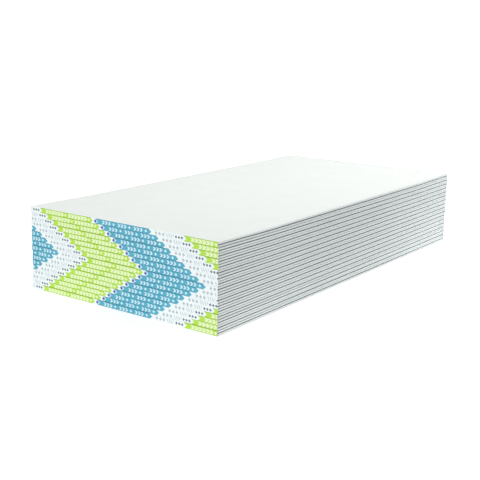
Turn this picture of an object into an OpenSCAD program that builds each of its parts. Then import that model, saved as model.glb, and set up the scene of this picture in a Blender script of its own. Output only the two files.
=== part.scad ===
// Stack of drywall sheets, bound in pairs. The two sheets of a pair lie face to
// face, and a paper tape folded over each end holds them together.
// Millimetres. X runs across the sheets, Y along them and Z up. The origin is on
// the floor under the middle of the stack, and the front end faces -Y.

/* [Sheet] */
// Width of a sheet, from one long edge to the other
sheet_width = 1220; // [600:10:1400]
// Length of a sheet, from one sawn end to the other
sheet_length = 2440; // [1200:10:3660]
// Thickness of a sheet
sheet_thickness = 12.7; // [9.5:0.1:16]
// Width of the tapered strip along each long edge of the face
taper_width = 60; // [30:1:90]
// How much thinner a sheet is at its long edges
taper_depth = 2.2; // [0.5:0.1:2.3]
// Radius of the paper's fold where a long edge meets the back
back_fold_radius = 3; // [0.5:0.1:4]
// Radius of the paper's fold where a long edge meets the face
face_fold_radius = 1.5; // [0.5:0.1:3]
// Radius that the tape presses into the back edge of a sawn end
end_ease_radius = 1.2; // [0.4:0.1:3]

/* [End tape] */
// Thickness of the tape's paper
tape_thickness = 0.15; // [0.1:0.05:0.5]
// How far the tape laps over the back of each sheet
tape_lap = 18; // [8:1:40]
// How far the tape stops short of each long edge
tape_inset = 1.5; // [0:0.5:10]

/* [Stack] */
// Number of pairs in the stack
pair_count = 17; // [1:1:24]
// Air left between one pair and the next
pair_gap = 0.1; // [0.05:0.05:1]
// Largest shift of a pair to either side
side_stagger = 1.5; // [0:0.1:10]
// Largest shift of a pair towards either end
end_stagger = 1.5; // [0:0.1:10]

/* [Hidden] */

// Steps in the arc of each fold
fold_steps = 6;
// Direction in degrees of the lowest pair's shift, counted from the rear end
stagger_start = 197.5;
// Turn in degrees from one pair's shift to the next one's, so that none repeats
stagger_turn = 137.5;
// How far a sheet's two profiles run past each other where they cross
profile_margin = 5;

half_width = sheet_width / 2;
half_length = sheet_length / 2;
edge_thickness = sheet_thickness - taper_depth;
taper_angle = atan(taper_depth / taper_width);
pair_height = 2 * (sheet_thickness + tape_thickness);
pair_pitch = pair_height + pair_gap;
tape_width = sheet_width - 2 * tape_inset;

paper_colour = [0.93, 0.94, 0.93];
tape_colour = [0.35, 0.66, 0.78];

// Points of an arc round a centre, from one angle to another
function arc(centre, radius, from, to) =
    [for (step = [0 : fold_steps])
        let (angle = from + (to - from) * step / fold_steps)
        centre + radius * [cos(angle), sin(angle)]];

// The same points seen in a mirror at x = middle, in the opposite order
function mirrored_x(points, middle = 0) =
    [for (i = [len(points) - 1 : -1 : 0]) [2 * middle - points[i].x, points[i].y]];

// The same points seen in a mirror at y = middle, in the opposite order
function mirrored_y(points, middle = 0) =
    [for (i = [len(points) - 1 : -1 : 0]) [points[i].x, 2 * middle - points[i].y]];

// Extrudes a profile that is drawn across the sheets, along their length
module along_sheet(length) {
    rotate([90, 0, 0])
        linear_extrude(height = length, center = true)
            children();
}

// Extrudes a profile that is drawn along the sheets, across their width
module across_sheet(width) {
    rotate([90, 0, 90])
        linear_extrude(height = width, center = true)
            children();
}

// Section across a sheet that lies on its back: paper folded round both long
// edges, and a face that tapers towards them
module cross_profile() {
    edge_centre = half_width - face_fold_radius;
    strip_height = edge_thickness + face_fold_radius * tan(taper_angle);
    back_fold = arc([half_width - back_fold_radius, back_fold_radius], back_fold_radius, -90, 0);
    face_fold = arc([edge_centre, strip_height - face_fold_radius / cos(taper_angle)],
                    face_fold_radius, 0, 90 - taper_angle);
    right_half = concat(back_fold, face_fold, [[half_width - taper_width, sheet_thickness]]);
    polygon(concat(right_half, mirrored_x(right_half)));
}

// Section along the same sheet: square sawn ends, eased where the tape folds over
module long_profile() {
    top = sheet_thickness + profile_margin;
    rear_half = concat(
        arc([half_length - end_ease_radius, end_ease_radius], end_ease_radius, -90, 0),
        [[half_length, top]]);
    polygon(concat(rear_half, mirrored_x(rear_half)));
}

// One sheet, lying on its back with its face up
module sheet() {
    intersection() {
        along_sheet(sheet_length + 2 * profile_margin)
            cross_profile();
        across_sheet(sheet_width + 2 * profile_margin)
            long_profile();
    }
}

// Section through a tape, folded over the front end of a pair
module tape_profile() {
    fold_centre = [end_ease_radius, tape_thickness + end_ease_radius];
    outer_fold = concat(
        [[tape_lap, 0]],
        arc(fold_centre, end_ease_radius + tape_thickness, -90, -180));
    inner_fold = concat(
        arc(fold_centre, end_ease_radius, -180, -90),
        [[tape_lap, tape_thickness]]);
    middle = pair_height / 2;
    polygon(concat(
        outer_fold, mirrored_y(outer_fold, middle),
        mirrored_y(inner_fold, middle), inner_fold));
}

// One tape, round the front end of a pair that lies on the floor
module end_tape() {
    translate([0, -half_length, 0])
        across_sheet(tape_width)
            tape_profile();
}

// Puts its child in the place of every pair of the stack
module in_each_pair() {
    for (pair = [0 : pair_count - 1]) {
        direction = stagger_start + pair * stagger_turn;
        translate([side_stagger * sin(direction),
                   end_stagger * cos(direction),
                   pair * pair_pitch])
            children();
    }
}

module face_up_sheets() {
    color(paper_colour)
        in_each_pair()
            translate([0, 0, tape_thickness])
                sheet();
}

module face_down_sheets() {
    color(paper_colour)
        in_each_pair()
            translate([0, 0, pair_height - tape_thickness])
                rotate([0, 180, 0])
                    sheet();
}

module front_end_tapes() {
    color(tape_colour)
        in_each_pair()
            end_tape();
}

module rear_end_tapes() {
    color(tape_colour)
        in_each_pair()
            rotate([0, 0, 180])
                end_tape();
}

face_up_sheets();
face_down_sheets();
front_end_tapes();
rear_end_tapes();
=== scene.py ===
import math
import random
from collections import namedtuple

import bpy
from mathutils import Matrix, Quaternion, Vector, noise


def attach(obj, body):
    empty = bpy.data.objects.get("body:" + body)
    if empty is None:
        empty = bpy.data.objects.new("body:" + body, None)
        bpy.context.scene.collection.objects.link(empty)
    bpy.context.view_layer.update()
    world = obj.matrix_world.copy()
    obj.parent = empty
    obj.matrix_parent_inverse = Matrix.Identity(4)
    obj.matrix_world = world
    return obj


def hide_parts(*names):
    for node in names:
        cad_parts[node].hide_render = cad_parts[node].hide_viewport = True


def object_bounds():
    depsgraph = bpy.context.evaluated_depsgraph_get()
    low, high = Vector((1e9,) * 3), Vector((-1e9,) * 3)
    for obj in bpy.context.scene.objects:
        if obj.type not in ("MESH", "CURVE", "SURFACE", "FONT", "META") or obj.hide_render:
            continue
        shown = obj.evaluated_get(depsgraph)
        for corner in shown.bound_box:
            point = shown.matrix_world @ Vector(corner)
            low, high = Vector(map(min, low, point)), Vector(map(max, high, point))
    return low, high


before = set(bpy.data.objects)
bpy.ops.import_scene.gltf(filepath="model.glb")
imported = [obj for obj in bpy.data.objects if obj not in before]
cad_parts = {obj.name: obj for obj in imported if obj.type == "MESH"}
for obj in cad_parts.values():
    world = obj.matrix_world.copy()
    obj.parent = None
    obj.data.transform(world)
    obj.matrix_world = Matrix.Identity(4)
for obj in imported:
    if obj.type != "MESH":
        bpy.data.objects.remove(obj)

# Looks of a stack of drywall sheets, bound in pairs by a printed paper tape over each end.
# Metres. X runs across the sheets, Y along them and Z up, as in the solids.

CAD_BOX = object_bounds()
HALF_WIDTH = (CAD_BOX[1].x - CAD_BOX[0].x) / 2
FRONT_Y = CAD_BOX[0].y
REAR_Y = CAD_BOX[1].y

# Vertices of a solid that agree to this many decimals of a metre are one
PLACE_DECIMALS = 6

# Section of a sheet
TAPER_WIDTH = 0.060
TAPER_DEPTH = 0.0022
BACK_FOLD_RADIUS = 0.003
FACE_FOLD_RADIUS = 0.0015
END_EASE_RADIUS = 0.0012
EDGE_STEPS = 6

# Sheets along their length. The tapes prop up the ends, so the middle comes down a little.
SHEET_STATIONS = 48
EASE_STEPS = 4
SAG_REACH = 0.5
SAG_OF_LOWEST = 0.0001
SAG_OF_PAIR = 0.0003
EDGE_WAVE = 0.0003
EDGE_WAVES_PER_METRE = 1.7
MATE_SLIP = 0.0004
SHEETS_IN_PIECE = 4

# End tapes
TAPE_THICKNESS = 0.00015
TAPE_FOLD_RADIUS = 0.00135
TAPE_STATIONS = 72
LAP_STEPS = 3
FOLD_STEPS = 6
HALF_WALL_STEPS = 5
LAP_LIFT = 0.0003
LAP_WAVES_PER_METRE = 9.0
WALL_WAVE = 0.00012
WALL_WAVE_LEVEL = 0.6
WALL_WAVES_ALONG = 7.0
WALL_WAVES_UP = 90.0
WALL_FADE = 4
SEAM_DIP = 0.0003
SEAM_DIP_WIDTH = 0.0011
TAPE_END_SPREAD = 0.0008

# Waves differ by a place in the noise that is drawn by chance, and a lap's lie in a layer of their own
NOISE_PLACES = 100.0
LAP_NOISE_LAYER = 3.0

# Faces that meet at more than this angle are shaded with a sharp edge
SHARP_ANGLE = math.radians(40)

# Paper of the sheets: noise in waves a metre, levels of the noise and shades of the colour
NOISE_LEVELS = (0.3, 0.7)
FIBRE_SCALE = 700.0
FIBRE_STRETCH = (1.0, 0.22, 1.0)
FIBRE_LEVELS = (0.25, 0.75)
FIBRE_SHADES = (0.965, 1.02)
FIBRE_RELIEF = 0.5
FLECK_SCALE = 260.0
FLECK_STRETCH = (1.0, 0.3, 1.0)
FLECK_LEVELS = (0.68, 0.76)
FLECK_SHADE = 0.93
MOTTLE_SCALE = 7.0
MOTTLE_SHADES = (0.99, 1.008)
PORE_SCALE = 1400.0
PORE_LEVELS = (0.45, 0.75)
PORE_SHARE = 0.5
BOARD_ROUGHNESS = (0.82, 0.94)
BOARD_SPECULAR = 0.25
BOARD_BUMP = (0.35, 0.0003)

# The face paper is folded round the long edges, laps over the back and ends there in a seam
LINER_LAP = 0.026
SEAM_FADE = (0.0002, 0.0009)
SEAM_SHADE = 0.96
SEAM_RELIEF = -0.6
FOLDED_STRIP_FADE = 0.001
FOLDED_STRIP_TINT = 0.05

# Components of the normal between which a surface comes to face an axis, leaves the flat or ends a fold,
# and the small one at which the fold towards the back gives way to the fold towards the face
TURNED = (0.4, 0.7)
OFF_FLAT = (0.02, 0.1)
PAST_FOLD = (0.75, 0.99)
FOLD_BORDER = 0.05

# Painted shade in the folds and joints between the sheets, painted shade along the long edges away from
# the front end, and wear at both ends
FACE_FOLD_PAINTED_SHADE = 0.83
FAR_FACE_FOLD_PAINTED_SHADE = 1.0
BACK_JOINT_PAINTED_SHADE = 0.60
PAINTED_SHADE_REACH = 1.0
FAR_PAINTED_SHADE_SHARE = 0.1
FOLD_SHADE_NOISE_SCALE = 1.3
FOLD_SHADE_NOISE_STRETCH = (1.0, 1.0, 45.0)
FOLD_SHADE_NOISE_SHADES = (0.93, 1.05)
EDGE_PAINTED_SHADE_START = 0.2
FAR_EDGE_PAINTED_SHADE = 0.90
SCUFF_START = 0.004
SCUFF_END = 0.013
SCUFF_SHADE = 0.82

# Paper of the tapes
TAPE_FIBRE_SCALE = 420.0
TAPE_FIBRE_RELIEF = 0.2
CREASE_SCALE = 55.0
CREASE_STRETCH = (1.0, 3.0, 1.0)
CREASE_RELIEF = 0.8
TAPE_ROUGHNESS = (0.55, 0.72)
TAPE_SPECULAR = 0.3
TAPE_BUMP = (0.25, 0.0004)

# Print on the tapes, along the flat strip: lime, a narrow stripe, blue and white
PRINT_PERIOD = 0.95
LIME_LENGTH = 0.36
STRIPE_LENGTH = 0.034
BLUE_LENGTH = 0.345
BLUE_START = LIME_LENGTH + STRIPE_LENGTH
BLUE_END = BLUE_START + BLUE_LENGTH
ROW_STEP = 0.040
ARROW_DEPTH = 0.019
PRINT_BLEED = 0.002
PRINT_START = 0.20
PRINT_JITTER = 0.003
LAP_FADE = 0.001
# The inner side of a tape lies this much further up its strip map
INNER_SIDE = 1.0

# Ink covers the paper unevenly, and near the folds the inks are darkened by painted shade of the grooves
# between the rows
INK_LEVELS = (0.3, 0.62)
INK_COVER = (0.9, 1.0)
FOLD_PAINTED_SHADE_START = 0.0048
FOLD_PAINTED_SHADE_END = 0.0005
LIME_FOLD_PAINTED_SHADE = 0.70
BLUE_FOLD_PAINTED_SHADE = 0.64

# Motifs in the bands: arrowheads and then a diamond, placed from the middle of each of a few cells
MOTIF_MARGIN = 0.018
Motif = namedtuple("Motif", "cells heads start pitch filled half_height diamond_place diamond_size")
LIME_MOTIF = Motif(cells=2, heads=6, start=-0.067, pitch=0.022, filled=0.74, half_height=0.0100,
                   diamond_place=0.0700, diamond_size=0.0085)
BLUE_MOTIF = Motif(cells=3, heads=3, start=-0.034, pitch=0.020, filled=0.52, half_height=0.0092,
                   diamond_place=0.0350, diamond_size=0.0080)
STRIPE_DIAMOND_SIZE = 0.0105

# Motifs on the white: pale diamonds after the blue, dark ones before the lime, and hatching between
WHITE_DIAMONDS = 3
PALE_DIAMONDS_END = 0.084
PALE_DIAMOND_SIZE = 0.0090
PALE_DIAMOND_INK = 0.5
DARK_DIAMONDS_START = 0.070
DARK_DIAMOND_SIZE = 0.0075
HATCH_MARGIN = 0.006
HATCH_PITCH = 0.0130
HATCH_FILLED = 0.45
HATCH_SLANT = 0.45
HATCH_HALF_HEIGHT = 0.0085
HATCH_INK = 0.40

# Texture maps: sheets and tapes are cut across, and the densities say how much room a metre of each
# stretch gets, compared with a metre of the others
SHEET_CUTS = 4
TAPE_CUTS = 4
CAP_SHARE = 0.06
MAP_MARGIN = 0.003
FOLD_DENSITY = 1.0
TAPER_DENSITY = 0.1
HIDDEN_DENSITY = 0.003
SHOWN_DENSITY = 0.08
LAP_DENSITY = 0.35
INNER_DENSITY = 0.08
RIM_WIDTH_ON_MAP = 0.0006

# Camera, on a 36 mm sensor
EYE = Vector((3.0288, -4.4094, 1.4169))
TARGET = Vector((-0.1563, 0.0, 0.1039))
ROLL = math.radians(1.0625)
LENS_MM = 70.02
SENSOR_MM = 36.0
VIEW_REACH = 200.0

# Floor, which glows white to the eye apart from a soft shade round the stack
FLOOR_DROP = 0.0004
FLOOR_SIZE = 80.0
FLOOR_GLOW = 1.25
FLOOR_SHADE = 0.4
SHADE_START = 0.15
SHADE_END = 0.6

# Surroundings: the light that they give, and the white that they show
WORLD_LIGHT = 0.65
WORLD_GLOW = 1.15

# Softboxes: place, what it looks at, width, height and watts
SOFTBOXES = {
    "over_far_end": ((1.2, 2.6, 3.0), (0.2, 1.0, 0.2), 3.0, 3.0, 53.0),
    "over_near_end": ((0.0, -0.6, 3.6), (0.0, -0.2, 0.0), 3.0, 3.0, 24.0),
    "front": ((-0.6, -5.2, 1.0), (0.0, -1.2, 0.2), 2.6, 1.6, 45.0),
    "far_right": ((1.45, 1.45, 0.25), (0.6, 1.2, 0.2), 1.0, 0.4, 2.5),
    "near_right": ((3.2, -2.4, 0.9), (0.6, -1.0, 0.2), 1.6, 1.2, 5.5),
}

# Light that the floor throws back, from a strip along each side of the stack, in watts a square metre
BOUNCE_REACH = 0.3
SIDE_BOUNCE = 1.66
END_BOUNCE = 0.75


def srgb(red, green, blue):
    """A colour given as 8-bit sRGB, in the linear values that shaders take."""
    def linear(level):
        share = level / 255
        return share / 12.92 if share <= 0.04045 else ((share + 0.055) / 1.055) ** 2.4
    return (linear(red), linear(green), linear(blue), 1.0)


BACK_PAPER = srgb(239, 242, 237)
EDGE_PAPER = srgb(224, 229, 228)
FACE_PAPER = srgb(200, 204, 200)
GYPSUM = srgb(226, 226, 222)
GYPSUM_PORE = srgb(190, 190, 184)
TAPE_WHITE = srgb(243, 249, 250)
LAP_PAPER = srgb(236, 241, 240)
# Glue on the tapes' inner side, darkened as painted shade for the open wedges where it shows
TAPE_GLUE_AND_PAINTED_SHADE = srgb(128, 124, 116)
LIME_INK = srgb(181, 226, 54)
BLUE_INK = srgb(74, 172, 198)
VIOLET_INK = srgb(78, 100, 180)
PALE_ON_LIME = srgb(235, 247, 200)
PALE_ON_BLUE = srgb(210, 234, 243)
GREY_ON_WHITE = srgb(112, 124, 130)
FLOOR_PAINT = srgb(236, 238, 238)
SKY = (0.96, 0.98, 1.0, 1.0)
WHITE = (1.0, 1.0, 1.0, 1.0)


class Graph:
    """The node tree of a material, with short calls for the nodes used here."""

    def __init__(self, tree):
        self.tree = tree
        tree.nodes.clear()

    def add(self, kind, **inputs):
        node = self.tree.nodes.new("ShaderNode" + kind)
        for name, value in inputs.items():
            self.feed(node.inputs[name.replace("_", " ")], value)
        return node

    def feed(self, socket, value):
        if isinstance(value, bpy.types.NodeSocket):
            self.tree.links.new(value, socket)
        else:
            socket.default_value = value

    def math(self, operation, *values):
        node = self.tree.nodes.new("ShaderNodeMath")
        node.operation = operation
        for socket, value in zip(node.inputs, values):
            self.feed(socket, value)
        return node.outputs[0]

    def product(self, first, *others):
        for other in others:
            first = self.math("MULTIPLY", first, other)
        return first

    def greatest(self, first, *others):
        for other in others:
            first = self.math("MAXIMUM", first, other)
        return first

    def below(self, value, high):
        """1 where the value is less than a level, and else 0."""
        return self.math("LESS_THAN", value, high)

    def between(self, value, low, high):
        """1 where the value lies between two levels, and else 0."""
        return self.product(self.math("GREATER_THAN", value, low), self.below(value, high))

    def repeat(self, value, period):
        """The part of a value that is past the last whole period, as a share of the period."""
        return self.math("FRACT", self.math("DIVIDE", value, period))

    def ramp(self, value, low, high, to_low=0.0, to_high=1.0):
        """Maps low..high smoothly to to_low..to_high."""
        node = self.tree.nodes.new("ShaderNodeMapRange")
        node.interpolation_type = "SMOOTHSTEP"
        for socket, level in zip(node.inputs, (value, low, high, to_low, to_high)):
            self.feed(socket, level)
        return node.outputs[0]

    def fade(self, value, low, high):
        """1 up to low, and then smoothly down to 0 at high."""
        return self.ramp(value, low, high, 1.0, 0.0)

    def shade(self, mask, level):
        """1 outside a mask, and the level inside it."""
        return self.ramp(mask, 0.0, 1.0, 1.0, level)

    def mix(self, factor, first, second, blend="MIX"):
        node = self.tree.nodes.new("ShaderNodeMix")
        node.data_type = "RGBA"
        node.blend_type = blend
        # The node has sockets for every kind of data, and its colours are the seventh and the eighth
        for index, value in ((0, factor), (6, first), (7, second)):
            self.feed(node.inputs[index], value)
        return node.outputs[2]

    def dim(self, colour, shade):
        """A colour times a shade of grey."""
        grey = self.add("CombineColor", Red=shade, Green=shade, Blue=shade).outputs[0]
        return self.mix(1.0, colour, grey, "MULTIPLY")

    def stretch(self, vector, factors):
        node = self.tree.nodes.new("ShaderNodeVectorMath")
        node.operation = "MULTIPLY"
        self.feed(node.inputs[0], vector)
        node.inputs[1].default_value = factors
        return node.outputs[0]

    def noise(self, vector, scale, detail=2.0, roughness=0.5):
        node = self.add("TexNoise", Vector=vector, Scale=scale, Detail=detail, Roughness=roughness)
        return node.outputs[0]

    def split(self, vector):
        return self.add("SeparateXYZ", Vector=vector).outputs

    def bump(self, height, strength, distance):
        return self.add("Bump", Height=height, Strength=strength, Distance=distance).outputs[0]

    def mix_shaders(self, factor, first, second):
        node = self.add("MixShader", Fac=factor)
        self.feed(node.inputs[1], first.outputs[0])
        self.feed(node.inputs[2], second.outputs[0])
        return node

    def seen_directly(self):
        """1 for rays that show the surface itself, and 0 for rays that only carry its light."""
        path = self.add("LightPath").outputs
        return self.greatest(path["Is Camera Ray"], path["Is Glossy Ray"], path["Is Transmission Ray"])

    def finish(self, shader, output="OutputMaterial"):
        self.tree.links.new(shader.outputs[0], self.add(output).inputs["Surface"])


def new_material(name):
    material = bpy.data.materials.new(name)
    material.use_nodes = True
    return material, Graph(material.node_tree)


def board_material(name, face_sign, joint_painted_shade):
    """Liner paper, with the gypsum core on the sawn ends. The face looks along face_sign times Z."""
    material, g = new_material(name)
    place = g.add("TexCoord").outputs["Object"]
    x, y, _ = g.split(place)
    normal_x, normal_y, normal_z = g.split(g.add("NewGeometry").outputs["Normal"])

    facing = g.math("MULTIPLY", normal_z, face_sign)
    across = g.math("ABSOLUTE", normal_x)
    on_face = g.ramp(facing, *TURNED)
    on_edge = g.ramp(across, *TURNED)
    on_end = g.ramp(g.math("ABSOLUTE", normal_y), *TURNED)
    off_flat = g.ramp(across, *OFF_FLAT)
    on_fold = g.product(off_flat, g.fade(across, *PAST_FOLD))

    from_seam = g.math("SUBTRACT", g.math("ABSOLUTE", x), HALF_WIDTH - LINER_LAP)
    seam = g.fade(g.math("ABSOLUTE", from_seam), *SEAM_FADE)
    folded_strip = g.ramp(from_seam, 0.0, FOLDED_STRIP_FADE)
    colour = g.mix(g.product(folded_strip, FOLDED_STRIP_TINT), BACK_PAPER, FACE_PAPER)
    colour = g.mix(on_face, colour, FACE_PAPER)
    colour = g.mix(on_edge, colour, EDGE_PAPER)

    fibre = g.noise(g.stretch(place, FIBRE_STRETCH), FIBRE_SCALE, detail=3.0, roughness=0.6)
    flecks = g.ramp(g.noise(g.stretch(place, FLECK_STRETCH), FLECK_SCALE), *FLECK_LEVELS)
    mottle = g.noise(place, MOTTLE_SCALE, detail=3.0)
    texture_shade = g.product(g.ramp(fibre, *FIBRE_LEVELS, *FIBRE_SHADES),
                              g.ramp(mottle, *NOISE_LEVELS, *MOTTLE_SHADES),
                              g.shade(flecks, FLECK_SHADE),
                              g.shade(seam, SEAM_SHADE))

    # Painted shade in the folds and joints between the sheets, deepest between the pairs near the front
    # end, varied by a noise
    back_fold_painted_shade = g.ramp(y, FRONT_Y, FRONT_Y + PAINTED_SHADE_REACH,
                        1.0 - joint_painted_shade, 1.0 - joint_painted_shade * FAR_PAINTED_SHADE_SHARE)
    face_fold_painted_shade = g.ramp(y, 0.0, REAR_Y, FACE_FOLD_PAINTED_SHADE, FAR_FACE_FOLD_PAINTED_SHADE)
    fold_painted_shade = g.ramp(facing, -FOLD_BORDER, FOLD_BORDER, back_fold_painted_shade, face_fold_painted_shade)
    fold_shade_noise = g.noise(g.stretch(place, FOLD_SHADE_NOISE_STRETCH), FOLD_SHADE_NOISE_SCALE)
    varied_fold_painted_shade = g.product(fold_painted_shade, g.ramp(fold_shade_noise, *NOISE_LEVELS, *FOLD_SHADE_NOISE_SHADES))

    # Painted shade darkens the long edges away from the front end, and the edges are scuffed at both ends
    edge_painted_shade = g.ramp(y, FRONT_Y + EDGE_PAINTED_SHADE_START, FRONT_Y + PAINTED_SHADE_REACH, 1.0, FAR_EDGE_PAINTED_SHADE)
    from_end = g.math("SUBTRACT", REAR_Y, g.math("ABSOLUTE", y))
    scuffed = g.product(off_flat, g.fade(from_end, SCUFF_START, SCUFF_END))
    # Painted shade on the folds and along the long edges, and wear at the ends
    painted_shade_and_wear = g.product(g.shade(on_fold, varied_fold_painted_shade),
                           g.shade(off_flat, edge_painted_shade),
                           g.shade(scuffed, SCUFF_SHADE))
    colour = g.dim(colour, g.product(texture_shade, painted_shade_and_wear))

    pores = g.noise(place, PORE_SCALE, detail=4.0, roughness=0.7)
    core = g.mix(g.ramp(pores, *PORE_LEVELS, 0.0, PORE_SHARE), GYPSUM, GYPSUM_PORE)
    colour = g.mix(on_end, colour, core)

    relief = g.math("ADD", g.product(fibre, FIBRE_RELIEF), g.product(seam, SEAM_RELIEF))
    g.finish(g.add("BsdfPrincipled",
                   Base_Color=colour,
                   Roughness=g.ramp(fibre, *NOISE_LEVELS, *BOARD_ROUGHNESS),
                   Specular_IOR_Level=BOARD_SPECULAR,
                   Normal=g.bump(relief, *BOARD_BUMP)))
    return material


def tape_material(strip_length, lap_length):
    """White tape paper with bands of ink. The map named strip holds the place on the flat tape."""
    material, g = new_material("printed_tape")
    strip_map = g.add("UVMap")
    strip_map.uv_map = "strip"
    strip = strip_map.outputs["UV"]
    along, across, _ = g.split(strip)
    off_middle = g.math("SUBTRACT", across, strip_length / 2)
    from_middle = g.math("ABSOLUTE", off_middle)
    half_wall = strip_length / 2 - lap_length
    half_print = half_wall + PRINT_BLEED
    printed = g.below(from_middle, half_print)

    # Bands whose edges are arrows
    arrow = g.product(from_middle, ARROW_DEPTH / half_print)
    band = g.product(g.repeat(g.math("ADD", along, arrow), PRINT_PERIOD), PRINT_PERIOD)
    in_lime = g.product(g.below(band, LIME_LENGTH), printed)
    in_blue = g.product(g.between(band, BLUE_START, BLUE_END), printed)

    # Motifs stand upright, so they are placed without the arrow
    upright = g.product(g.repeat(along, PRINT_PERIOD), PRINT_PERIOD)

    def cells(start, end, count):
        """Distance from the middle of a cell, and 1 inside the row of cells."""
        pitch = (end - start) / count
        share = g.repeat(g.math("SUBTRACT", upright, start), pitch)
        return g.product(g.math("SUBTRACT", share, 0.5), pitch), g.between(upright, start, end)

    def diamond(place, middle, half_size):
        from_centre = g.math("ABSOLUTE", g.math("SUBTRACT", place, middle))
        return g.below(g.math("ADD", from_centre, from_middle), half_size)

    def diamonds(start, end, count, half_size):
        """One diamond in the middle of each cell."""
        place, inside = cells(start, end, count)
        return g.product(diamond(place, 0.0, half_size), inside)

    def band_marks(start, end, motif):
        """Arrowheads and a diamond in each cell of a band."""
        place, inside = cells(start + MOTIF_MARGIN, end - MOTIF_MARGIN, motif.cells)
        past_start = g.math("SUBTRACT", g.math("ADD", place, from_middle), motif.start)
        heads = g.product(g.below(g.repeat(past_start, motif.pitch), motif.filled),
                          g.between(past_start, 0.0, motif.heads * motif.pitch),
                          g.below(from_middle, motif.half_height))
        last = diamond(place, motif.diamond_place, motif.diamond_size)
        return g.product(g.greatest(heads, last), inside)

    lime_marks = g.product(band_marks(0.0, LIME_LENGTH, LIME_MOTIF), in_lime)
    blue_marks = g.product(band_marks(BLUE_START, BLUE_END, BLUE_MOTIF), in_blue)
    stripe_marks = diamonds(LIME_LENGTH, BLUE_START, 1, STRIPE_DIAMOND_SIZE)

    # White: diamonds at both sides and faint hatching between them
    pale_end = BLUE_END + PALE_DIAMONDS_END
    dark_start = PRINT_PERIOD - DARK_DIAMONDS_START
    pale = diamonds(BLUE_END + MOTIF_MARGIN, pale_end, WHITE_DIAMONDS, PALE_DIAMOND_SIZE)
    dark = diamonds(dark_start, PRINT_PERIOD - MOTIF_MARGIN, WHITE_DIAMONDS, DARK_DIAMOND_SIZE)
    slanted = g.math("ADD", along, g.product(off_middle, HATCH_SLANT))
    hatch = g.product(g.below(g.repeat(slanted, HATCH_PITCH), HATCH_FILLED),
                      g.below(from_middle, HATCH_HALF_HEIGHT),
                      g.between(upright, pale_end + HATCH_MARGIN, dark_start - HATCH_MARGIN))
    grey_marks = g.greatest(g.product(pale, PALE_DIAMOND_INK), dark, g.product(hatch, HATCH_INK))

    fibre = g.noise(strip, TAPE_FIBRE_SCALE, detail=3.0, roughness=0.6)
    ink_cover = g.ramp(fibre, *INK_LEVELS, *INK_COVER)
    # Painted shade of the grooves between the rows, on the inks only
    near_fold = g.ramp(from_middle, half_wall - FOLD_PAINTED_SHADE_START, half_wall - FOLD_PAINTED_SHADE_END)
    lime = g.dim(LIME_INK, g.shade(near_fold, LIME_FOLD_PAINTED_SHADE))
    blue = g.dim(BLUE_INK, g.shade(near_fold, BLUE_FOLD_PAINTED_SHADE))
    colour = g.mix(g.product(grey_marks, printed), TAPE_WHITE, GREY_ON_WHITE)
    colour = g.mix(g.product(stripe_marks, ink_cover), colour, VIOLET_INK)
    colour = g.mix(g.product(in_lime, ink_cover), colour, lime)
    colour = g.mix(g.product(in_blue, ink_cover), colour, blue)
    colour = g.mix(lime_marks, colour, PALE_ON_LIME)
    colour = g.mix(blue_marks, colour, PALE_ON_BLUE)
    colour = g.mix(g.ramp(from_middle, half_print, half_print + LAP_FADE), colour, LAP_PAPER)
    # The inner side is glue, darkened as painted shade of the open wedges between the sheets
    colour = g.mix(g.math("GREATER_THAN", across, INNER_SIDE / 2), colour, TAPE_GLUE_AND_PAINTED_SHADE)

    creases = g.noise(g.stretch(strip, CREASE_STRETCH), CREASE_SCALE, detail=3.0, roughness=0.6)
    relief = g.math("ADD", g.product(creases, CREASE_RELIEF), g.product(fibre, TAPE_FIBRE_RELIEF))
    g.finish(g.add("BsdfPrincipled",
                   Base_Color=colour,
                   Roughness=g.ramp(fibre, *NOISE_LEVELS, *TAPE_ROUGHNESS),
                   Specular_IOR_Level=TAPE_SPECULAR,
                   Normal=g.bump(relief, *TAPE_BUMP)))
    return material


def solids_of(node):
    """Lowest and highest corner of each separate solid of a node, from the floor up."""
    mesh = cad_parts[node].data
    owner = list(range(len(mesh.vertices)))

    def root(i):
        while owner[i] != i:
            owner[i] = owner[owner[i]]
            i = owner[i]
        return i

    at_place = {}
    for vertex in mesh.vertices:
        key = tuple(round(c, PLACE_DECIMALS) for c in vertex.co)
        owner[root(vertex.index)] = root(at_place.setdefault(key, vertex.index))
    for edge in mesh.edges:
        owner[root(edge.vertices[0])] = root(edge.vertices[1])
    boxes = {}
    for vertex in mesh.vertices:
        low, high = boxes.setdefault(root(vertex.index), (vertex.co.copy(), vertex.co.copy()))
        for axis in range(3):
            low[axis] = min(low[axis], vertex.co[axis])
            high[axis] = max(high[axis], vertex.co[axis])
    return sorted(boxes.values(), key=lambda box: box[0].z)


class Draft:
    """Vertices and faces of a mesh in the making, with the place of each corner on its texture map."""

    def __init__(self):
        self.vertices = []
        self.faces = []
        self.places = []

    def face(self, corners, places):
        self.faces.append(corners)
        self.places.append(places)

    def turn_round(self):
        """Makes every face look the other way."""
        self.faces = [corners[::-1] for corners in self.faces]
        self.places = [places[::-1] for places in self.places]

    def build(self, name):
        mesh = bpy.data.meshes.new(name)
        mesh.from_pydata(self.vertices, [], self.faces)
        mesh.update()
        layer = mesh.uv_layers.new(name="OFBake")
        shares = [share for places in self.places for place in places for share in place]
        layer.data.foreach_set("uv", shares)
        mesh.shade_smooth()
        mesh.set_sharp_from_angle(angle=SHARP_ANGLE)
        return mesh


def rectangle(left, right, low, high):
    return [(left, low), (right, low), (right, high), (left, high)]


def running_total(widths):
    """Where each width begins and ends, as a share of their sum."""
    total = [0.0]
    for width in widths:
        total.append(total[-1] + width)
    return [place / total[-1] for place in total]


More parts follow.
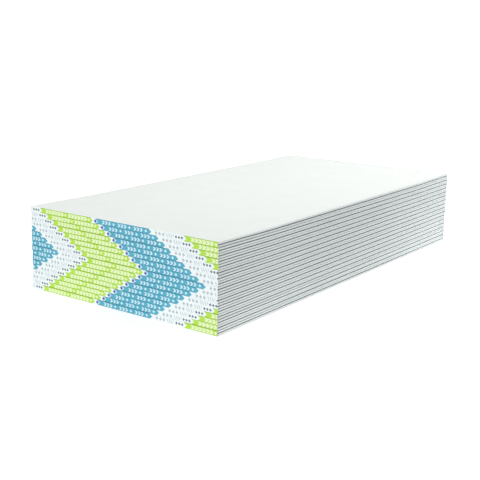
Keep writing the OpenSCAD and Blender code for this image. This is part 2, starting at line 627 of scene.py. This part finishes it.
def add_sleeve(draft, rings, shares, cuts, low, high):
    """Joins closed rings of vertices. The sleeve is cut across, and its cuts are stacked on the map.

    Each ring is a list of vertex numbers, and shares says where each of its points lies round the sleeve.
    """
    steps = len(rings) - 1
    count = len(rings[0])
    height = (high - low) / cuts
    room = height - 2 * MAP_MARGIN
    for step in range(steps):
        cut, first = divmod(step * cuts, steps)
        left = first / steps
        right = min(1.0, left + cuts / steps)
        base = low + cut * height + MAP_MARGIN
        here, there = rings[step], rings[step + 1]
        for i in range(count):
            after = (i + 1) % count
            draft.face((here[i], there[i], there[after], here[after]),
                       rectangle(left, right, base + room * shares[i], base + room * shares[i + 1]))


def add_cap(draft, lower, upper, sense, low, high):
    """Closes the end of a sleeve by a strip of faces between two lines of vertices."""
    steps = len(lower) - 1
    for i in range(steps):
        corners = (lower[i], lower[i + 1], upper[i + 1], upper[i])
        places = rectangle(i / steps, (i + 1) / steps, low + MAP_MARGIN, high - MAP_MARGIN)
        draft.face(corners[::sense], places[::sense])


def add_caps(draft, rings, low, room):
    """Closes both ends of a sleeve. Half of a ring's points lie on its lower line, half on the upper."""
    half = len(rings[0]) // 2
    for ring, sense, cap_low in ((rings[0], 1, low), (rings[-1], -1, low + room / 2)):
        add_cap(draft, ring[:half], ring[half:][::-1], sense, cap_low, cap_low + room / 2)


def sheet_section(half_width, thickness):
    """Lower and upper line of a sheet's section, from left to right: (x, height above the back)."""
    taper_angle = math.atan(TAPER_DEPTH / TAPER_WIDTH)
    back_x = half_width - BACK_FOLD_RADIUS
    face_x = half_width - FACE_FOLD_RADIUS
    face_z = (thickness - TAPER_DEPTH
              + FACE_FOLD_RADIUS * (math.tan(taper_angle) - 1 / math.cos(taper_angle)))
    lower = [(half_width - TAPER_WIDTH, 0.0)]
    upper = [(half_width - TAPER_WIDTH, thickness)]
    for step in range(EDGE_STEPS + 1):
        share = step / EDGE_STEPS
        turn = math.pi / 2 * share
        lower.append((back_x + BACK_FOLD_RADIUS * math.sin(turn),
                      BACK_FOLD_RADIUS * (1 - math.cos(turn))))
        turn = (math.pi / 2 - taper_angle) * (1 - share)
        upper.append((face_x + FACE_FOLD_RADIUS * math.cos(turn),
                      face_z + FACE_FOLD_RADIUS * math.sin(turn)))
    return tuple([(-x, z) for x, z in reversed(line)] + line for line in (lower, upper))


def sheet_stations(length):
    """Distance from the front end, and how far the eased end lifts the back, at each station."""
    ease = []
    for step in range(EASE_STEPS, 0, -1):
        turn = math.pi / 2 * step / EASE_STEPS
        ease.append((END_EASE_RADIUS * (1 - math.sin(turn)), END_EASE_RADIUS * (1 - math.cos(turn))))
    span = length - 2 * END_EASE_RADIUS
    middle = [(END_EASE_RADIUS + span * step / SHEET_STATIONS, 0.0) for step in range(SHEET_STATIONS + 1)]
    return ease + middle + [(length - distance, lift) for distance, lift in reversed(ease)]


def smooth_step(share):
    share = min(1.0, max(0.0, share))
    return share * share * (3 - 2 * share)


def sheet_map_widths(outline, back_density):
    """Room on the texture map for each stretch of a sheet's outline: folds, tapers and the broad sides."""
    widths = []
    for (x_a, z_a), (x_b, z_b) in zip(outline, outline[1:] + outline[:1]):
        size = math.hypot(x_b - x_a, z_b - z_a)
        on_back = z_a == 0.0 and z_b == 0.0
        if size < TAPER_WIDTH / 2:
            density = FOLD_DENSITY
        elif on_back:
            density = back_density
        elif size < 2 * TAPER_WIDTH:
            density = TAPER_DENSITY
        else:
            density = HIDDEN_DENSITY
        widths.append(size * density)
    return widths


def add_sheet(draft, box, pair, face_sign, back_density, low, high, rng):
    """One sheet, whose map lies between two heights on the texture map of its piece."""
    corner, far = box
    length = far.y - corner.y
    slip = rng.uniform(-MATE_SLIP, MATE_SLIP)
    centre_x = (corner.x + far.x) / 2 + slip
    back_z = corner.z if face_sign > 0 else far.z
    wave_places = {-1: rng.uniform(0.0, NOISE_PLACES), 1: rng.uniform(0.0, NOISE_PLACES)}
    lower, upper = sheet_section((far.x - corner.x) / 2, far.z - corner.z)
    outline = lower + upper[::-1]
    sag = SAG_OF_LOWEST + SAG_OF_PAIR * pair

    rings = []
    for distance, lift in sheet_stations(length):
        y = corner.y + distance
        drop = sag * smooth_step(min(distance, length - distance) / SAG_REACH)
        ring = []
        for x, height in outline:
            side = 1 if x > 0 else -1
            wave = EDGE_WAVE * noise.noise(Vector((y * EDGE_WAVES_PER_METRE, wave_places[side], 0.0)))
            ring.append(len(draft.vertices))
            draft.vertices.append((centre_x + face_sign * (x + wave), y,
                                   back_z + face_sign * max(height, lift) - drop))
        rings.append(ring)

    cap_room = (high - low) * CAP_SHARE
    cuts = 1 if back_density > HIDDEN_DENSITY else SHEET_CUTS
    shares = running_total(sheet_map_widths(outline, back_density))
    add_sleeve(draft, rings, shares, cuts, low + cap_room, high)
    add_caps(draft, rings, low, cap_room)


def add_piece(name, mesh, material, node):
    mesh.materials.append(material)
    piece = bpy.data.objects.new(name, mesh)
    bpy.context.scene.collection.objects.link(piece)
    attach(piece, "root")
    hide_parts(node)


def make_sheets(node, face_sign, outer_pair, outer_name, outer_material, material):
    """The outermost sheet of a node is a piece by itself, and the others are joined a few to a piece."""
    boxes = solids_of(node)
    rng = random.Random(node)
    draft = Draft()
    add_sheet(draft, boxes[outer_pair], outer_pair, face_sign, SHOWN_DENSITY, 0.0, 1.0, rng)
    add_piece(outer_name, draft.build(outer_name), outer_material, node)
    pairs = [pair for pair in range(len(boxes)) if pair != outer_pair]
    for start in range(0, len(pairs), SHEETS_IN_PIECE):
        group = pairs[start:start + SHEETS_IN_PIECE]
        draft = Draft()
        for place, pair in enumerate(group):
            add_sheet(draft, boxes[pair], pair, face_sign, HIDDEN_DENSITY,
                      place / len(group), (place + 1) / len(group), rng)
        name = f"{node}_{group[0] + 1:02d}_{group[-1] + 1:02d}"
        add_piece(name, draft.build(name), material, node)


def tape_section(depth, height):
    """Outer line of a folded tape: (inward, up, outward normal, place on the strip) at each point."""
    radius = TAPE_FOLD_RADIUS
    points = []
    for step in range(LAP_STEPS):
        points.append((depth + (radius - depth) * step / LAP_STEPS, 0.0, (0.0, -1.0)))
    for step in range(FOLD_STEPS):
        turn = math.pi / 2 * step / FOLD_STEPS
        points.append((radius - radius * math.sin(turn), radius - radius * math.cos(turn),
                       (-math.sin(turn), -math.cos(turn))))
    for step in range(HALF_WALL_STEPS):
        points.append((0.0, radius + (height / 2 - radius) * step / HALF_WALL_STEPS, (-1.0, 0.0)))
    upper = [(inward, height - up, (normal[0], -normal[1])) for inward, up, normal in reversed(points)]
    points = points + [(0.0, height / 2, (-1.0, 0.0))] + upper
    places = [0.0]
    for (in_a, up_a, _), (in_b, up_b, _) in zip(points, points[1:]):
        places.append(places[-1] + math.hypot(in_b - in_a, up_b - up_a))
    return [(*point, place) for point, place in zip(points, places)]


def tape_map_widths(section):
    """Room on the texture map round a tape: its outer side, a rim, its inner side and the other rim."""
    outer = []
    inner = []
    for (in_a, _, _, place_a), (in_b, _, _, place_b) in zip(section, section[1:]):
        size = place_b - place_a
        on_lap = max(in_a, in_b) > TAPE_FOLD_RADIUS
        outer.append(size * (LAP_DENSITY if on_lap else FOLD_DENSITY))
        inner.append(size * INNER_DENSITY)
    return outer + [RIM_WIDTH_ON_MAP] + inner[::-1] + [RIM_WIDTH_ON_MAP]


def tape_mesh(name, box, row, rows, inward_sign, top_is_free, rng):
    """One tape as a thin folded sheet, with the small waves of paper under tension."""
    low, high = box
    depth, height = high.y - low.y, high.z - low.z
    wall_y = low.y if inward_sign > 0 else high.y
    centre_x = (low.x + high.x) / 2
    left = low.x + rng.uniform(0.0, TAPE_END_SPREAD)
    right = high.x - rng.uniform(0.0, TAPE_END_SPREAD)
    section = tape_section(depth, height)
    wave_place = rng.uniform(0.0, NOISE_PLACES)
    print_shift = PRINT_START + abs(row - (rows - 1) / 2) * ROW_STEP
    print_shift += rng.uniform(-PRINT_JITTER, PRINT_JITTER)

    def lap_push(x, inward, up):
        """How far a lap stands off the sheet, which is more towards its edge. Only the top one is free."""
        if not (top_is_free and up > height / 2):
            return 0.0
        loose = (inward - TAPE_FOLD_RADIUS) / (depth - TAPE_FOLD_RADIUS)
        wave = noise.noise(Vector((x * LAP_WAVES_PER_METRE, wave_place, LAP_NOISE_LAYER)))
        return LAP_LIFT * loose * (0.5 + 0.5 * wave)

    def wall_push(x, up, normal):
        """Waves of the wall, and a dip over the open wedge between the two sheets' tapers."""
        flat = max(0.0, -normal[0]) ** WALL_FADE
        ripple = noise.noise(Vector((x * WALL_WAVES_ALONG, up * WALL_WAVES_UP, wave_place)))
        wave = WALL_WAVE * (WALL_WAVE_LEVEL + ripple)
        open_share = max(0.0, abs(x - centre_x) - (HALF_WIDTH - TAPER_WIDTH)) / TAPER_WIDTH
        dip = SEAM_DIP * open_share * math.exp(-((up - height / 2) / SEAM_DIP_WIDTH) ** 2)
        return flat * max(0.0, wave) - dip

    draft = Draft()
    strip = []
    rings = []
    sides = ((section, 0.0, 0.0), (section[::-1], TAPE_THICKNESS, INNER_SIDE))
    for station in range(TAPE_STATIONS + 1):
        x = left + (right - left) * station / TAPE_STATIONS
        start = len(draft.vertices)
        for line, sunk, side in sides:
            for inward, up, normal, place in line:
                on_lap = inward > TAPE_FOLD_RADIUS
                offset = (lap_push(x, inward, up) if on_lap else wall_push(x, up, normal)) - sunk
                draft.vertices.append((x,
                                       wall_y + inward_sign * (inward + normal[0] * offset),
                                       low.z + up + normal[1] * offset))
                strip.append((x - centre_x + print_shift, place + side))
        rings.append(list(range(start, len(draft.vertices))))

    add_sleeve(draft, rings, running_total(tape_map_widths(section)), TAPE_CUTS, CAP_SHARE, 1.0)
    add_caps(draft, rings, 0.0, CAP_SHARE)
    if inward_sign < 0:
        draft.turn_round()

    mesh = draft.build(name)
    layer = mesh.uv_layers.new(name="strip")
    for loop in mesh.loops:
        layer.data[loop.index].uv = strip[loop.vertex_index]
    return mesh


def make_tapes(node, prefix, inward_sign, material):
    boxes = solids_of(node)
    rng = random.Random(node)
    for row, box in enumerate(boxes):
        name = f"{prefix}_{row + 1:02d}"
        top_is_free = row == len(boxes) - 1
        mesh = tape_mesh(name, box, row, len(boxes), inward_sign, top_is_free, rng)
        add_piece(name, mesh, material, node)


def make_camera():
    data = bpy.data.cameras.new("camera")
    data.sensor_width = SENSOR_MM
    data.lens = LENS_MM
    data.clip_end = VIEW_REACH
    camera = bpy.data.objects.new("camera", data)
    camera.location = EYE
    camera.rotation_mode = "QUATERNION"
    level = (TARGET - EYE).to_track_quat("-Z", "Y")
    camera.rotation_quaternion = level @ Quaternion((0.0, 0.0, 1.0), ROLL)
    bpy.context.scene.collection.objects.link(camera)
    bpy.context.scene.camera = camera


def make_floor():
    mesh = bpy.data.meshes.new("floor")
    half = FLOOR_SIZE / 2
    floor_z = CAD_BOX[0].z - FLOOR_DROP
    corners = [(x, y, floor_z) for x, y in rectangle(-half, half, -half, half)]
    mesh.from_pydata(corners, [], [(0, 1, 2, 3)])
    floor = bpy.data.objects.new("floor", mesh)
    bpy.context.scene.collection.objects.link(floor)
    material, g = new_material("white_floor")
    x, y, _ = g.split(g.add("TexCoord").outputs["Object"])
    outside = g.greatest(g.math("SUBTRACT", g.math("ABSOLUTE", x), CAD_BOX[1].x),
                         g.math("SUBTRACT", g.math("ABSOLUTE", y), REAR_Y))
    pale = g.add("BsdfDiffuse", Color=FLOOR_PAINT)
    white = g.add("Emission", Color=WHITE, Strength=FLOOR_GLOW)
    shaded = g.mix_shaders(g.ramp(outside, SHADE_START, SHADE_END, FLOOR_SHADE, 0.0), white, pale)
    g.finish(g.mix_shaders(g.seen_directly(), pale, shaded))
    mesh.materials.append(material)


def make_world():
    world = bpy.data.worlds.new("studio")
    world.use_nodes = True
    bpy.context.scene.world = world
    g = Graph(world.node_tree)
    lit = g.add("Background", Color=SKY, Strength=WORLD_LIGHT)
    shown = g.add("Background", Color=WHITE, Strength=WORLD_GLOW)
    g.finish(g.mix_shaders(g.seen_directly(), lit, shown), "OutputWorld")


def add_softbox(name, place, target, width, height, power):
    data = bpy.data.lights.new(name, "AREA")
    data.shape = "RECTANGLE"
    data.size = width
    data.size_y = height
    data.energy = power
    lamp = bpy.data.objects.new(name, data)
    lamp.location = place
    lamp.rotation_mode = "QUATERNION"
    lamp.rotation_quaternion = (Vector(target) - Vector(place)).to_track_quat("-Z", "Y")
    lamp.visible_camera = False
    bpy.context.scene.collection.objects.link(lamp)


def add_bounce():
    """Softboxes that lie on the floor round the stack and look up."""
    low, high = CAD_BOX
    reach = BOUNCE_REACH
    strips = {
        "bounce_left": (SIDE_BOUNCE, low.x - reach, low.x, low.y, high.y),
        "bounce_right": (SIDE_BOUNCE, high.x, high.x + reach, low.y, high.y),
        "bounce_front": (END_BOUNCE, low.x, high.x, low.y - reach, low.y),
        "bounce_rear": (END_BOUNCE, low.x, high.x, high.y, high.y + reach),
    }
    for name, (strength, left, right, front, rear) in strips.items():
        width = right - left
        length = rear - front
        place = Vector(((left + right) / 2, (front + rear) / 2, low.z))
        above = place + Vector((0.0, 0.0, 1.0))
        add_softbox(name, place, above, width, length, strength * width * length)


# The lower sheets' papers carry painted shade in their joints; the top sheet's paper has none on its back
# fold, which is the top edge of the stack
face_up_paper = board_material("face_up_paper", 1.0, BACK_JOINT_PAINTED_SHADE)
face_down_paper = board_material("face_down_paper", -1.0, BACK_JOINT_PAINTED_SHADE)
top_paper = board_material("top_paper", -1.0, 0.0)
top_pair = len(solids_of("face_down_sheets")) - 1
make_sheets("face_up_sheets", 1, 0, "bottom_sheet", face_up_paper, face_up_paper)
make_sheets("face_down_sheets", -1, top_pair, "top_sheet", top_paper, face_down_paper)

tape_low, tape_high = solids_of("front_end_tapes")[0]
tape_depth = tape_high.y - tape_low.y
strip_length = tape_section(tape_depth, tape_high.z - tape_low.z)[-1][-1]
tape_paper = tape_material(strip_length, tape_depth - TAPE_FOLD_RADIUS)
make_tapes("front_end_tapes", "front_tape", 1, tape_paper)
make_tapes("rear_end_tapes", "rear_tape", -1, tape_paper)

make_camera()
make_floor()
make_world()
for box_name, box_values in SOFTBOXES.items():
    add_softbox(box_name, *box_values)
add_bounce()
bpy.context.scene.view_settings.view_transform = "Standard"
